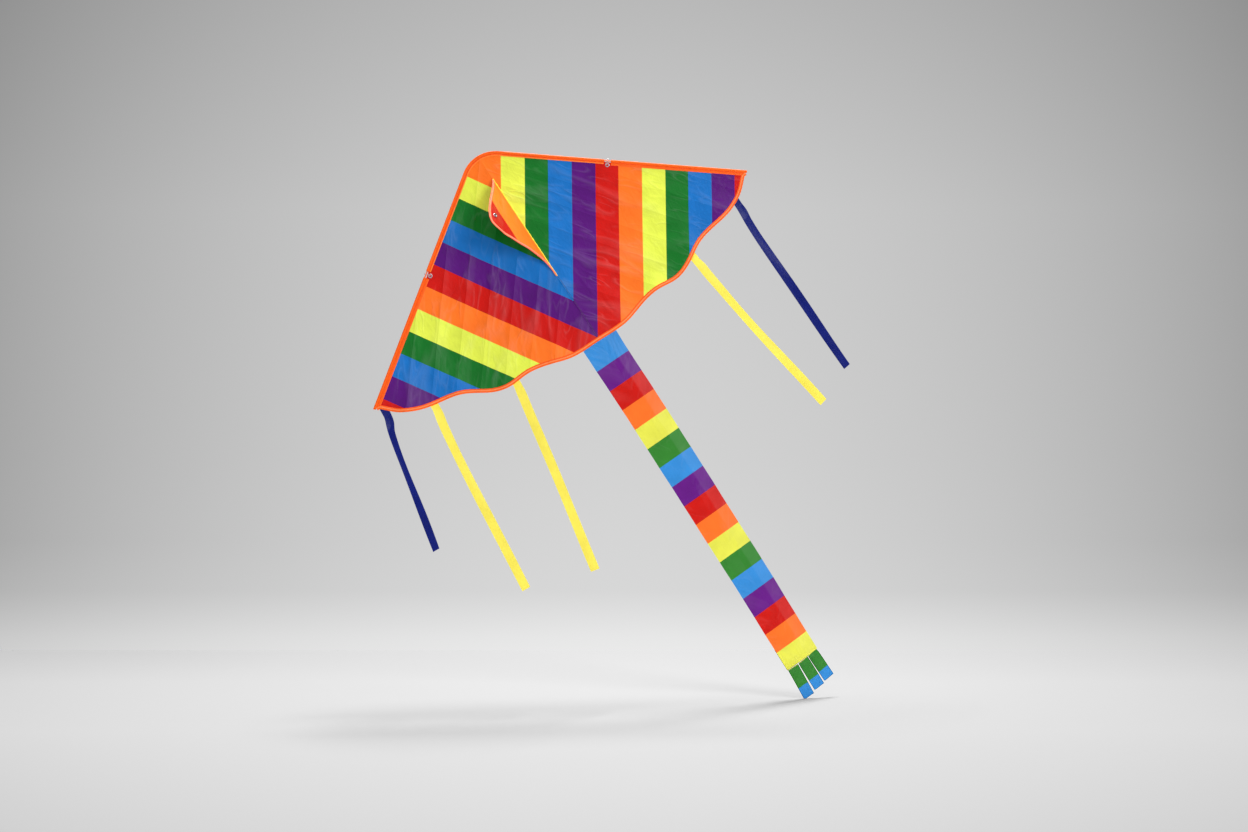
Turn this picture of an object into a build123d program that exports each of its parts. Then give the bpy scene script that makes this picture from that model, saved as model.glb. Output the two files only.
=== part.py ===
from build123d import *
import math
import os

# Delta kite with a keel, five streamers and a long ribbon tail.  Millimetres.
#
# The kite is drawn nose up with its sail flat in the XZ plane: the corner where the two straight
# leading edges would meet is (0, 0, 0), the spine runs down -Z, the keel stands on the -Y side
# and the frame lies on the +Y side.  save() then moves each piece so that the centre of the tow
# eyelet, where the flying line is tied, becomes the origin.

# ---- sail outline -----------------------------------------------------------------------------
NOSE_HALF_ANGLE = 53.6      # between the spine and either leading edge, degrees
EDGE_LENGTH = 750.0         # leading edge, from the virtual corner to the wing tip
NOSE_RADIUS = 95.0          # the nose is rounded off by this arc
SAIL_LENGTH = 619.0         # from the virtual corner down to the trailing edge at the spine
# the scalloped trailing edge between the spine and a wing tip, as distance out and distance down
SCALLOPS = [(95, 616), (160, 597), (215, 589), (275, 592), (330, 573), (385, 542), (440, 528),
            (505, 515), (548, 495)]
TIP_TANGENT = (0.73, 0.68)
BAND_STEPS = 14
FOLD_X = 57.0               # the wings fold about creases this far from the spine
CREASE_GAP = 0.5            # cloth left out on each side of a crease
CLOTH = 0.8                 # sail, keel and ribbon cloth
TAPE = 1.6                  # folded edge tape, front and back together
TAPE_WIDTH = 10.5

# ---- leading edge sleeves and spars -----------------------------------------------------------
UPPER_SLEEVE_WIDTH = 13.0
LOWER_SLEEVE_WIDTH = 16.0
SLEEVE_RADIUS = 3.2         # outside of the tunnel that holds the spar
SLEEVE_BORE = 2.6
SLEEVE_START = 84.0         # distances along the leading edge
OPENING_START = 357.0       # the sleeve is cut away here, so that the link can grip the spar
OPENING_END = 376.0
OPENING_DEPTH = 7.5
EDGE_MARGIN = 1.0           # how far the strips that trim the cloth reach past its edge
TIP_MARGIN = 30.0           # and past the wing tip
SPAR_RADIUS = 1.75
SPAR_START = 90.0
SPAR_END = 744.0
CAP_WALL = 0.6
CAP_LENGTH = 12.0
CAP_BOTTOM = 2.0
CLEARANCE = 0.03            # a cap on its rod, and an eyelet in its hole

# ---- spine ------------------------------------------------------------------------------------
SPINE_RADIUS = 2.0
SPINE_TOP = 44.0
SPINE_FOOT = 604.0
POCKET_RADIUS = 3.4
POCKET_BORE = 2.8
POCKET_FLANGE = 18.0
POCKET_FLANGE_T = 0.6
POCKET_TOP = 39.0
POCKET_FOOT = 607.5
SPINE_Y = CLOTH / 2 + POCKET_RADIUS

# ---- eyelets, links and spreader --------------------------------------------------------------
EYELET_RADIUS = 6.0
EYELET_BORE = 3.0
EYELET_BARREL = 3.6
EYELET_LENGTH = 2.6
EYELET_FLANGE_T = 0.7
EYELET_U = 366.5            # along the leading edge
EYELET_S = 15.0             # in from the leading edge
LINK_THICKNESS = 1.2
LINK_WIDTH = 4.0
LINK_HALF_HEIGHT = 3.9
LINK_OUTER_S = -1.4
LINK_CORNER = 2.8
SPREADER_RADIUS = 2.0
TIP_RADIUS = 2.5
TIP_LENGTH = 17.0
SPREADER_HALF = 287.0
SPREADER_CLEARANCE = 0.4    # behind the spine pocket
CRADLE_BORE = 2.58
CRADLE_RADIUS = 4.2
CRADLE_LENGTH = 13.0
CRADLE_INSET = 3.0          # the cradle's middle is this much nearer the spine than the eyelet
POST_SIZE = (6.0, 5.0)      # the post that carries the cradle, across and down
POST_SHIFT = (-1.0, 1.0)    # its middle from the eyelet's, across and up
SPREADER_Y = SPINE_Y + POCKET_RADIUS + SPREADER_CLEARANCE + TIP_RADIUS

# ---- keel, a fin sewn to the front of the sail along the spine --------------------------------
KEEL_LEAN = 37.0            # at rest it leans this far to the left of square, degrees
KEEL_HINGE_Y = -1.9
KEEL_ROOT_GAP = 2.5
KEEL_TOP = 97.0             # distances down the spine
KEEL_FOOT = 412.0
# its free edge between root top and root foot, as distance out and distance down
KEEL_EDGE = [(62, 140), (122, 182), (143, 211), (124, 246), (72, 290), (30, 334)]
KEEL_TAPE_WIDTH = 8.0
SEAM_TAPE_WIDTH = 4.0
SEAM_TAPE_T = 0.8
TOW_OUT = 105.0             # tow eyelet, out from the spine in the keel's own plane
TOW_DOWN = 198.0

# ---- streamers: side, distance out, distance down, width, length, sideways lean ---------------
NAVY_WIDTH = 24.0
YELLOW_WIDTH = 25.0
STREAMER_LEAN_BACK = 12.0
STREAMER_CLOTH = 0.6
STREAMERS = {
    "left_navy_streamer": (-1, 584.0, 482.0, NAVY_WIDTH, 388.0, 11.5),
    "left_outer_yellow_streamer": (-1, 466.0, 532.0, YELLOW_WIDTH, 553.0, 6.1),
    "left_inner_yellow_streamer": (-1, 251.0, 599.0, YELLOW_WIDTH, 551.0, 9.4),
    "right_navy_streamer": (1, 534.0, 515.0, NAVY_WIDTH, 552.0, 3.4),
    "right_yellow_streamer": (1, 346.0, 580.0, YELLOW_WIDTH, 541.0, 11.3),
}

# ---- main tail: printed panels in a row, ending in a fringe -----------------------------------
TAIL_WIDTH = 106.0
TAIL_PANEL = 63.0
TAIL_PANELS = [2, 2, 2, 2, 2, 2, 2, 3]    # panels in each length that bends at its top edge
TAIL_LEAN_TOP = 9.0         # the tail hangs back from the sail, more and more towards its end
TAIL_LEAN_STEP = 0.9
TAIL_SIDE_LEAN = 1.2        # and a little to the right
TAIL_TOP = SAIL_LENGTH + 2.5
TAIL_GAP = 0.6              # cloth left out at each bend
FRINGE_LENGTHS = {"left": 102.0, "middle": 97.0, "right": 96.0}
FRINGE_WIDTH = 32.0
FRINGE_FAN = 2.5            # degrees between neighbouring strips
FRINGE_GAP = 1.2

# ---- derived ----------------------------------------------------------------------------------
GAMMA = math.radians(NOSE_HALF_ANGLE)
LEAN = math.radians(KEEL_LEAN)
ALONG = Vector(math.sin(GAMMA), 0, -math.cos(GAMMA))      # down the right leading edge
INWARD = Vector(-math.cos(GAMMA), 0, -math.sin(GAMMA))    # square to it, into the sail
FAR = 2000.0

EDGE_SECTION = Plane(origin=(0, 0, 0), x_dir=INWARD, z_dir=ALONG)    # x inward, y to the back
SAIL_PLANE = Plane.XZ                                                # x right, y up, z forward
KEEL_PLANE = Plane(origin=(0, KEEL_HINGE_Y, 0), x_dir=(-math.sin(LEAN), -math.cos(LEAN), 0),
                   z_dir=(-math.cos(LEAN), math.sin(LEAN), 0))       # x out, y up
TOW_EYELET = KEEL_PLANE.from_local_coords(Vector(TOW_OUT, -TOW_DOWN, 0))


def edge_point(along, inward, back=0.0):
    """A point of the right wing, measured from its leading edge."""
    return ALONG * along + INWARD * inward + Vector(0, back, 0)


def flat_plate(face, thickness, plane=SAIL_PLANE):
    """A plate of one thickness, centred on the plane its outline is drawn in."""
    return extrude(plane * face, amount=thickness / 2, both=True)


def band(low, high):
    """The part of the sail plane between two distances from the spine."""
    return Pos((low + high) / 2, -SAIL_LENGTH) * Rectangle(high - low, FAR)


def mirrored(shape):
    return mirror(shape, about=Plane.YZ)


def trailing_edge():
    tip = edge_point(EDGE_LENGTH, 0)
    points = [(0, -SAIL_LENGTH)] + [(out, -down) for out, down in SCALLOPS] + [(tip.X, tip.Z)]
    return Spline(points, tangents=[(1, 0), TIP_TANGENT])


def edge_band(edge, width):
    """The strip between an edge and a curve at a distance from it: left of it, or right if negative."""
    points = []
    for step in range(BAND_STEPS + 1):
        tangent = edge % (step / BAND_STEPS)
        points.append(edge @ (step / BAND_STEPS) + Vector(-tangent.Y, tangent.X) * width)
    inner = Spline(points)
    return make_face([edge, Line(edge @ 1, inner @ 1), inner, Line(inner @ 0, edge @ 0)])


def half_outline():
    """The right half of the sail: nose arc, leading edge, scalloped trailing edge, spine."""
    centre = -NOSE_RADIUS / math.sin(GAMMA)
    nose = CenterArc((0, centre), NOSE_RADIUS, NOSE_HALF_ANGLE, 90 - NOSE_HALF_ANGLE)
    tip = edge_point(EDGE_LENGTH, 0)
    top = (0, centre + NOSE_RADIUS)
    leading = Line(nose @ 0, (tip.X, tip.Z))
    return make_face([nose, leading, trailing_edge(), Line((0, -SAIL_LENGTH), top)])


def edge_strip(start, end, width):
    """A strip of the sail plane along the right leading edge."""
    corners = [edge_point(start, -EDGE_MARGIN), edge_point(end, -EDGE_MARGIN),
               edge_point(end, width), edge_point(start, width)]
    return make_face(Polyline([(p.X, p.Z) for p in corners], close=True))


def nose_strip():
    """The binding's shape round the nose arc, right half."""
    centre = (0, -NOSE_RADIUS / math.sin(GAMMA))
    ring = Pos(*centre) * (Circle(NOSE_RADIUS + EDGE_MARGIN)
                           - Circle(NOSE_RADIUS - UPPER_SLEEVE_WIDTH))
    reach = 2 * NOSE_RADIUS
    square_to_edge = (reach * math.cos(GAMMA), centre[1] + reach * math.sin(GAMMA))
    sector = make_face(Polyline([centre, (0, centre[1] + reach), square_to_edge], close=True))
    return ring & sector


def bound_edge():
    """The part of the right half that the nose binding and the sleeves cover."""
    return (nose_strip() + edge_strip(NOSE_RADIUS / math.tan(GAMMA), OPENING_START, UPPER_SLEEVE_WIDTH)
            + edge_strip(OPENING_START, OPENING_END, OPENING_DEPTH)
            + edge_strip(OPENING_END, EDGE_LENGTH + TIP_MARGIN, LOWER_SLEEVE_WIDTH))


def trailing_tape():
    """Edge tape folded over the trailing edge, right half."""
    return (half_outline() & edge_band(trailing_edge(), TAPE_WIDTH)) - bound_edge()


def sail_cloth():
    """The right half's single-thickness cloth."""
    return half_outline() - bound_edge() - edge_band(trailing_edge(), TAPE_WIDTH)


def eyelet():
    """A two-part rolled eyelet, its bore along Z and its middle at the origin."""
    flange = Cylinder(EYELET_RADIUS, EYELET_FLANGE_T)
    offset_z = CLOTH / 2 + EYELET_FLANGE_T / 2
    body = Cylinder(EYELET_BARREL, EYELET_LENGTH)
    body += Pos(0, 0, offset_z) * flange + Pos(0, 0, -offset_z) * flange
    return body - Cylinder(EYELET_BORE, 2 * EYELET_LENGTH)


def eyelet_hole(plane):
    return plane * Cylinder(EYELET_BARREL + CLEARANCE, 4 * EYELET_LENGTH)


def cap(radius):
    """A soft vinyl cap for a rod end: it opens along +Z, and the rod's end is at the origin."""
    outside = Pos(0, 0, CAP_LENGTH / 2 - CAP_BOTTOM) * Cylinder(radius + CAP_WALL, CAP_LENGTH)
    rod_space = Pos(0, 0, CAP_LENGTH / 2) * Cylinder(radius + CLEARANCE, CAP_LENGTH)
    return outside - rod_space


# ---- pieces of one wing, drawn for the right and mirrored for the left ------------------------
EYELET_POINT = edge_point(EYELET_U, EYELET_S)
EYELET_PLANE = Plane(origin=EYELET_POINT, x_dir=(1, 0, 0), z_dir=(0, -1, 0))


def wing_sail():
    cloth = flat_plate(sail_cloth() & band(FOLD_X + CREASE_GAP, FAR), CLOTH)
    return cloth - eyelet_hole(EYELET_PLANE)


def wing_tape():
    return flat_plate(trailing_tape() & band(FOLD_X + TAPE, FAR), TAPE)


def sleeve(start, end, width):
    """A hem folded round the spar: a tunnel that tapers to the stitched edge of the cloth."""
    tunnel = Pos(SLEEVE_RADIUS, 0) * Circle(SLEEVE_RADIUS)
    stitched = Pos(width - TAPE / 2, 0) * Rectangle(TAPE, TAPE)
    profile = make_hull((tunnel + stitched).edges()) - Pos(SLEEVE_RADIUS, 0) * Circle(SLEEVE_BORE)
    return extrude(EDGE_SECTION.offset(start) * profile, amount=end - start)


def spar_plane(along):
    return Plane(origin=edge_point(along, SLEEVE_RADIUS), x_dir=INWARD, z_dir=ALONG)


def spar():
    return extrude(spar_plane(SPAR_START) * Circle(SPAR_RADIUS), amount=SPAR_END - SPAR_START)


def spar_caps():
    upper = spar_plane(SPAR_START) * cap(SPAR_RADIUS)
    lower = spar_plane(SPAR_END) * Rot(180, 0, 0) * cap(SPAR_RADIUS)
    return Compound([upper, lower])


def wing_eyelet():
    return EYELET_PLANE * eyelet()


def spreader_link():
    """A clear plastic link round the spar and through the eyelet, with a cradle for the spreader."""
    inner_s = EYELET_S + LINK_THICKNESS / 2
    middle_s = (LINK_OUTER_S + inner_s) / 2
    length = inner_s - LINK_OUTER_S
    outside = Pos(middle_s, 0) * RectangleRounded(length, 2 * LINK_HALF_HEIGHT, LINK_CORNER)
    inside = Pos(middle_s, 0) * RectangleRounded(length - 2 * LINK_THICKNESS,
                                                 2 * (LINK_HALF_HEIGHT - LINK_THICKNESS),
                                                 LINK_CORNER - LINK_THICKNESS)
    loop = extrude(EDGE_SECTION.offset(EYELET_U - LINK_WIDTH / 2) * (outside - inside),
                   amount=LINK_WIDTH)
    across = Plane(origin=(EYELET_POINT.X - CRADLE_INSET, SPREADER_Y, EYELET_POINT.Z),
                   x_dir=(0, 1, 0), z_dir=(1, 0, 0))
    half = Pos(-CRADLE_RADIUS, 0) * Rectangle(2 * CRADLE_RADIUS, 2 * CRADLE_RADIUS)
    cradle = flat_plate((Circle(CRADLE_RADIUS) & half) - Circle(CRADLE_BORE), CRADLE_LENGTH, across)
    post_low = LINK_HALF_HEIGHT - LINK_THICKNESS / 2
    post_high = SPREADER_Y - (CRADLE_BORE + CRADLE_RADIUS) / 2
    post = Pos(EYELET_POINT.X + POST_SHIFT[0], (post_low + post_high) / 2,
               EYELET_POINT.Z + POST_SHIFT[1]) * Box(POST_SIZE[0], post_high - post_low, POST_SIZE[1])
    return loop + cradle + post


# ---- centre pieces ----------------------------------------------------------------------------
def both_halves(face):
    return face + mirror(face, about=Plane.YZ)


def centre_sail():
    return flat_plate(both_halves(sail_cloth() & band(0, FOLD_X - CREASE_GAP)), CLOTH)


def nose_binding():
    strip = half_outline() & bound_edge() & band(0, FOLD_X - TAPE)
    return flat_plate(both_halves(strip), TAPE)


def centre_tape():
    return flat_plate(both_halves(trailing_tape() & band(0, FOLD_X - TAPE)), TAPE)


def spine_plane(down):
    return Plane(origin=(0, SPINE_Y, -down), x_dir=(1, 0, 0), z_dir=(0, 0, -1))


def spine_rod():
    return extrude(spine_plane(SPINE_TOP) * Circle(SPINE_RADIUS), amount=SPINE_FOOT - SPINE_TOP)


def spine_caps():
    upper = spine_plane(SPINE_TOP) * cap(SPINE_RADIUS)
    lower = spine_plane(SPINE_FOOT) * Rot(180, 0, 0) * cap(SPINE_RADIUS)
    return Compound([upper, lower])


def spine_pocket():
    """A cloth tunnel sewn to the back of the sail by a flange on each side."""
    plane = spine_plane(POCKET_TOP)
    sail_side = SPINE_Y - CLOTH / 2 - POCKET_FLANGE_T / 2
    flange = Pos(0, sail_side) * Rectangle(POCKET_FLANGE, POCKET_FLANGE_T)
    profile = Circle(POCKET_RADIUS) + flange - Circle(POCKET_BORE)
    return extrude(plane * profile, amount=POCKET_FOOT - POCKET_TOP)


def keel_seam_tape():
    """The folded edge of the keel's cloth, stitched flat to the front of the sail."""
    middle_y = -CLOTH / 2 - SEAM_TAPE_T / 2
    return Pos(0, middle_y, -(KEEL_TOP + KEEL_FOOT) / 2) \
        * Box(SEAM_TAPE_WIDTH, SEAM_TAPE_T, KEEL_FOOT - KEEL_TOP)


# ---- keel -------------------------------------------------------------------------------------
def keel_edge():
    """The keel's free edge: out along its short side, round the corner and back down."""
    points = [(KEEL_ROOT_GAP, -KEEL_TOP)] + [(out, -down) for out, down in KEEL_EDGE]
    return Spline(points + [(KEEL_ROOT_GAP, -KEEL_FOOT)])


def keel_outline():
    root = Line((KEEL_ROOT_GAP, -KEEL_FOOT), (KEEL_ROOT_GAP, -KEEL_TOP))
    return make_face([keel_edge(), root])


def keel_tape_outline():
    return keel_outline() & edge_band(keel_edge(), -KEEL_TAPE_WIDTH)


def keel_panel():
    cloth = flat_plate(keel_outline() - keel_tape_outline(), CLOTH, KEEL_PLANE)
    return cloth - eyelet_hole(KEEL_PLANE * Pos(TOW_OUT, -TOW_DOWN, 0))


def keel_tape():
    return flat_plate(keel_tape_outline(), TAPE, KEEL_PLANE)


def tow_eyelet():
    return KEEL_PLANE * Pos(TOW_OUT, -TOW_DOWN, 0) * eyelet()


# ---- spreader ---------------------------------------------------------------------------------
def spreader_rod():
    return Pos(0, SPREADER_Y, EYELET_POINT.Z) * Rot(0, 90, 0) \
        * Cylinder(SPREADER_RADIUS, 2 * (SPREADER_HALF - CAP_BOTTOM))


def spreader_tips():
    """A soft tip on each end of the spreader, which snaps into the link's cradle."""
    start = SPREADER_HALF - TIP_LENGTH
    middle = Vector(start + TIP_LENGTH / 2, SPREADER_Y, EYELET_POINT.Z)
    tip = Pos(*middle) * Rot(0, 90, 0) * Cylinder(TIP_RADIUS, TIP_LENGTH)
    tip -= Pos(middle.X - CAP_BOTTOM, middle.Y, middle.Z) * Rot(0, 90, 0) \
        * Cylinder(SPREADER_RADIUS + CLEARANCE, TIP_LENGTH)
    return Compound([tip, mirrored(tip)])


# ---- streamers and tail -----------------------------------------------------------------------
def hanging_strip(top, width, start, end, lean_back, lean_out=0.0):
    """A flat ribbon that hangs from top, covering the lengths between start and end."""
    strip = Pos(0, 0, -(start + end) / 2) * Box(width, STREAMER_CLOTH, end - start)
    return Pos(*top) * Rot(lean_back, 0, 0) * Rot(0, -lean_out, 0) * strip


def streamer(name):
    side, out, down, width, length, lean_out = STREAMERS[name]
    return hanging_strip((side * out, 0, -down), width, TAIL_GAP, length, STREAMER_LEAN_BACK,
                         side * lean_out)


def tail_chain():
    """Top point, backward lean and size of each length of tail, and then of the fringe's top edge."""
    links = []
    x, y, z = 0.0, 0.0, -TAIL_TOP
    side_lean = math.radians(TAIL_SIDE_LEAN)
    for number, panels in enumerate(TAIL_PANELS + [0]):
        lean = TAIL_LEAN_TOP + number * TAIL_LEAN_STEP
        length = panels * TAIL_PANEL
        links.append(((x, y, z), lean, length))
        drop = length * math.cos(math.radians(lean))
        x += drop * math.sin(side_lean)
        y += length * math.sin(math.radians(lean))
        z -= drop * math.cos(side_lean)
    return links


def tail_place(top):
    return Pos(*top) * Rot(0, -TAIL_SIDE_LEAN, 0)


def tail_length(number):
    top, lean, length = tail_chain()[number]
    return tail_place(top) * hanging_strip((0, 0, 0), TAIL_WIDTH, TAIL_GAP, length - TAIL_GAP, lean)


def fringe_strip(side):
    top, lean, _ = tail_chain()[-1]
    place = list(FRINGE_LENGTHS).index(side) - 1
    along = place * TAIL_WIDTH / len(FRINGE_LENGTHS)
    strip = hanging_strip((along, 0, 0), FRINGE_WIDTH, FRINGE_GAP, FRINGE_LENGTHS[side], lean,
                          place * FRINGE_FAN)
    return tail_place(top) * strip


# ---- output -----------------------------------------------------------------------------------
def save(name, shape):
    export_step(Pos(*(-TOW_EYELET)) * shape, f"parts/{name}.step")


def save_pair(name, shape):
    save("right_" + name, shape)
    save("left_" + name, mirrored(shape))


def main():
    os.makedirs("parts", exist_ok=True)
    save("spine_rod", spine_rod())
    save("spine_caps", spine_caps())
    save("spine_pocket", spine_pocket())
    save("centre_sail", centre_sail())
    save("nose_binding", nose_binding())
    save("centre_trailing_tape", centre_tape())
    save("keel_seam_tape", keel_seam_tape())
    save_pair("wing_sail", wing_sail())
    save_pair("upper_sleeve", sleeve(SLEEVE_START, OPENING_START, UPPER_SLEEVE_WIDTH))
    save_pair("lower_sleeve", sleeve(OPENING_END, EDGE_LENGTH, LOWER_SLEEVE_WIDTH))
    save_pair("leading_spar", spar())
    save_pair("spar_caps", spar_caps())
    save_pair("trailing_tape", wing_tape())
    save_pair("spreader_eyelet", wing_eyelet())
    save_pair("spreader_link", spreader_link())
    save("spreader_rod", spreader_rod())
    save("spreader_tips", spreader_tips())
    save("keel_panel", keel_panel())
    save("keel_edge_tape", keel_tape())
    save("tow_eyelet", tow_eyelet())
    for name in STREAMERS:
        save(name, streamer(name))
    for number in range(len(TAIL_PANELS)):
        save(f"tail_length_{number + 1}", tail_length(number))
    for side in FRINGE_LENGTHS:
        save(f"{side}_fringe_strip", fringe_strip(side))


main()
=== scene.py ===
import math
import random

import bpy
import numpy as np
from mathutils import Matrix, Vector


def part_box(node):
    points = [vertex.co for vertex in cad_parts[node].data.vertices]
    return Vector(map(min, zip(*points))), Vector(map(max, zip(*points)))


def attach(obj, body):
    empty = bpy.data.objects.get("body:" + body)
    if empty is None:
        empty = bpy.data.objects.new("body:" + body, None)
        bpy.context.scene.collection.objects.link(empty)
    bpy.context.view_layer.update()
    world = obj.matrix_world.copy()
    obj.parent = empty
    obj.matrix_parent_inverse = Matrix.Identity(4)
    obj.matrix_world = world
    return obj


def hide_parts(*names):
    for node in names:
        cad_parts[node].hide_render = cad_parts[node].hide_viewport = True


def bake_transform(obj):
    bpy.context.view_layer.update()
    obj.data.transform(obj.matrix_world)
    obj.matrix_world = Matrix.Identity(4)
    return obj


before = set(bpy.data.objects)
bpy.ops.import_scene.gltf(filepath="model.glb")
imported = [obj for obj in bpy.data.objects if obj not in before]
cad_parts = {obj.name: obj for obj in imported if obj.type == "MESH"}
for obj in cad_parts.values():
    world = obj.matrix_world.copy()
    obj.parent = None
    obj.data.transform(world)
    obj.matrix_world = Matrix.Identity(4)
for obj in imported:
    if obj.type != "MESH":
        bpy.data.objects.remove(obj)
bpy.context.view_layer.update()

# The looks of a delta kite: printed sail, sewn bindings, keel, ribbons and tail.  Metres.
#
# Kite coordinates are used throughout: x to the right wing seen from the keel side, y to the back
# where the rods are, z up the spine, with the origin at the corner where the two straight leading
# edges would meet.  place() turns them into the frame's own coordinates.

# ---- driving sizes ----------------------------------------------------------------------------
NOSE_HALF_ANGLE = math.radians(53.6)
SIN, COS = math.sin(NOSE_HALF_ANGLE), math.cos(NOSE_HALF_ANGLE)
EDGE_LENGTH = 0.750
NOSE_RADIUS = 0.095
NOSE_ARC_END = NOSE_RADIUS / math.tan(NOSE_HALF_ANGLE)    # along the leading edge
KEEL_LEAN = math.radians(37.0)
KEEL_HINGE_Y = -0.0019

CLOTH = 0.00035
TAPE_CLOTH = 0.0004
TAPE_GAP = 0.00045                # half the space between the two layers of a folded tape
TRAILING_TAPE_WIDTH = 0.0105
SLEEVE_RADIUS = 0.0031            # where the hem wraps the spar
SLEEVE_STITCH = 0.0078            # the row of stitches that closes the spar's tunnel
UPPER_SLEEVE = (NOSE_ARC_END, 0.357, 0.013)               # start and end along the edge, width
LOWER_SLEEVE = (0.376, 0.7535, 0.0155)
NOTCH = (0.358, 0.375, 0.0075)    # the cloth is cut back here, so that a link can grip the spar
KEEL_TAPE_WIDTH = 0.008
TAIL_PANEL = 0.063

STRIPE = 0.0642                   # width of a printed stripe
STRIPE_START = 0.075              # the first stripe ends this far down the leading edge
STRIPE_SLANT = 0.0594             # stripes lean this much from square to the leading edge
STEP = 0.0025                     # mesh spacing on the sail


# ---- small helpers ----------------------------------------------------------------------------
def smooth(value, low, high):
    """0 below low, 1 above high, and a smooth turn between them."""
    t = np.clip((np.asarray(value, float) - low) / (high - low), 0, 1)
    return t * t * (3 - 2 * t)


def unit(vector):
    vector = np.asarray(vector, float)
    return vector / np.linalg.norm(vector)


def node_points(node):
    """A CAD node's separate vertices, in kite coordinates."""
    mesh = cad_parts[node].data
    points = np.array([v.co for v in mesh.vertices], float)
    return np.unique(points.round(5), axis=0) - CORNER


def find_corner():
    """The frame position of the corner where the leading edges would meet."""
    low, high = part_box("nose_binding")
    above_nose = NOSE_RADIUS * (1 / SIN - 1)
    return np.array([(low.x + high.x) / 2, (low.y + high.y) / 2, high.z + above_nose])


def rim(nodes, outward, square_to):
    """Points of the side faces, of flat CAD nodes, that face outward."""
    found = []
    for node in nodes:
        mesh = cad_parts[node].data
        for polygon in mesh.polygons:
            facing = polygon.normal.dot(Vector(outward))
            if facing > 0.15 and abs(polygon.normal.dot(Vector(square_to))) < 0.5:
                found += [mesh.vertices[i].co for i in polygon.vertices]
    return np.unique(np.array(found, float).round(5), axis=0) - CORNER


def smooth_curve(x, y, step=0.001, window=0.012):
    """y as a function of x through scattered points, with the facets rounded off."""
    order = np.argsort(x)
    x, y = np.asarray(x)[order], np.asarray(y)[order]
    fine_x = np.arange(x[0], x[-1], step)
    fine_y = np.interp(fine_x, x, y)
    count = int(window / step) | 1
    padded = np.concatenate([2 * fine_y[0] - fine_y[count // 2:0:-1], fine_y,
                             2 * fine_y[-1] - fine_y[-2:-count // 2 - 1:-1]])
    return fine_x, np.convolve(padded, np.ones(count) / count, "valid")


CORNER = find_corner()
KEEL_OUT = np.array([-math.sin(KEEL_LEAN), -math.cos(KEEL_LEAN), 0])
KEEL_NORMAL = np.array([-math.cos(KEEL_LEAN), math.sin(KEEL_LEAN), 0])

_rim = rim(["centre_trailing_tape", "right_trailing_tape"], (0, 0, -1), (0, 1, 0))
_rim = _rim[_rim[:, 0] > -0.02]
TRAIL_X, TRAIL_Z = smooth_curve(_rim[:, 0], _rim[:, 2])
_rim = rim(["keel_edge_tape"], KEEL_OUT, KEEL_NORMAL)
KEEL_Z, KEEL_U = smooth_curve(_rim[:, 2], (_rim - [0, KEEL_HINGE_Y, 0]) @ KEEL_OUT, window=0.008)


def place(points):
    return np.asarray(points, float) + CORNER


def trailing_z(x):
    return np.interp(np.abs(x), TRAIL_X, TRAIL_Z)


def inward_of(x, z):
    """Distance in from the straight leading edge."""
    return -np.abs(x) * COS - z * SIN


# ---- the sail's surface -----------------------------------------------------------------------
BELLY = 0.0045                    # how far the panels bow back between the spine and the edges
FLUTTER = 0.0030                  # waves along the free trailing edge
PACK_ANGLE = math.radians(51.0)   # the kite is stored folded along lines at this slope
PACK_PITCH = {-1: 0.063, 1: 0.065}
PACK_PLACE = {-1: -0.041, 1: 0.003}
PACK_DEPTH = {-1: 0.0021, 1: 0.0007}        # each band between two folds bows back by this

# rows of parallel creases: side, first start (out, down), step to the next, count, slope in
# degrees below level and outward, length, half width, height
CREASE_ROWS = [
    (-1, (0.104, 0.262), (0.018, 0.010), 4, 71, 0.100, 0.0040, 0.0011),
    (-1, (0.068, 0.430), (0.041, -0.004), 4, 71, 0.165, 0.0050, 0.0011),
    (-1, (0.285, 0.500), (0.050, -0.010), 3, 60, 0.060, 0.0040, 0.0007),
    (-1, (0.028, 0.315), (0.020, -0.008), 3, 86, 0.060, 0.0035, 0.0008),
    (1, (0.100, 0.180), (0.036, 0.040), 3, 57, 0.065, 0.0040, 0.0006),
    (1, (0.235, 0.280), (0.075, 0.046), 3, 60, 0.060, 0.0045, 0.0006),
    (1, (0.050, 0.440), (0.018, 0.070), 2, 84, 0.080, 0.0045, 0.0009),
    (1, (0.330, 0.360), (0.070, 0.050), 3, 36, 0.055, 0.0040, 0.0005),
]
LOOSE_CREASES = 34                # short faint ones scattered over each wing


def crease(x, z, start, slope, length, width, height):
    """A ridge that starts at (out, down), and runs down and outward at a slope."""
    c, s = math.cos(slope), math.sin(slope)
    out, down = np.abs(x) - start[0], -z - start[1]
    along = (out * c + down * s) / length
    across = (down * c - out * s) / width
    swell = np.where((along > 0) & (along < 1), np.sin(np.pi * np.clip(along, 0, 1)) ** 0.8, 0)
    return height * swell * np.exp(-across ** 2)


def creases():
    """All the creases of the sail: side, and what crease() takes."""
    rows = []
    for side, start, step, count, slope, length, width, height in CREASE_ROWS:
        for i in range(count):
            at = (start[0] + i * step[0], start[1] + i * step[1])
            sign = 1 if i % 2 else -1
            rows.append((side, at, math.radians(slope), length, width, sign * height))
    chance = random.Random(7)
    for side in (-1, 1):
        for _ in range(LOOSE_CREASES):
            out = chance.uniform(0.03, 0.5)
            down = chance.uniform(out / math.tan(NOSE_HALF_ANGLE) + 0.03, 0.6)
            slope = PACK_ANGLE + math.radians(chance.gauss(4, 16))
            height = chance.choice((-1, 1)) * chance.uniform(0.0002, 0.0006)
            rows.append((side, (out, down), slope, chance.uniform(0.03, 0.11),
                         chance.uniform(0.003, 0.006), height))
    return rows


CREASES = creases()


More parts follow.
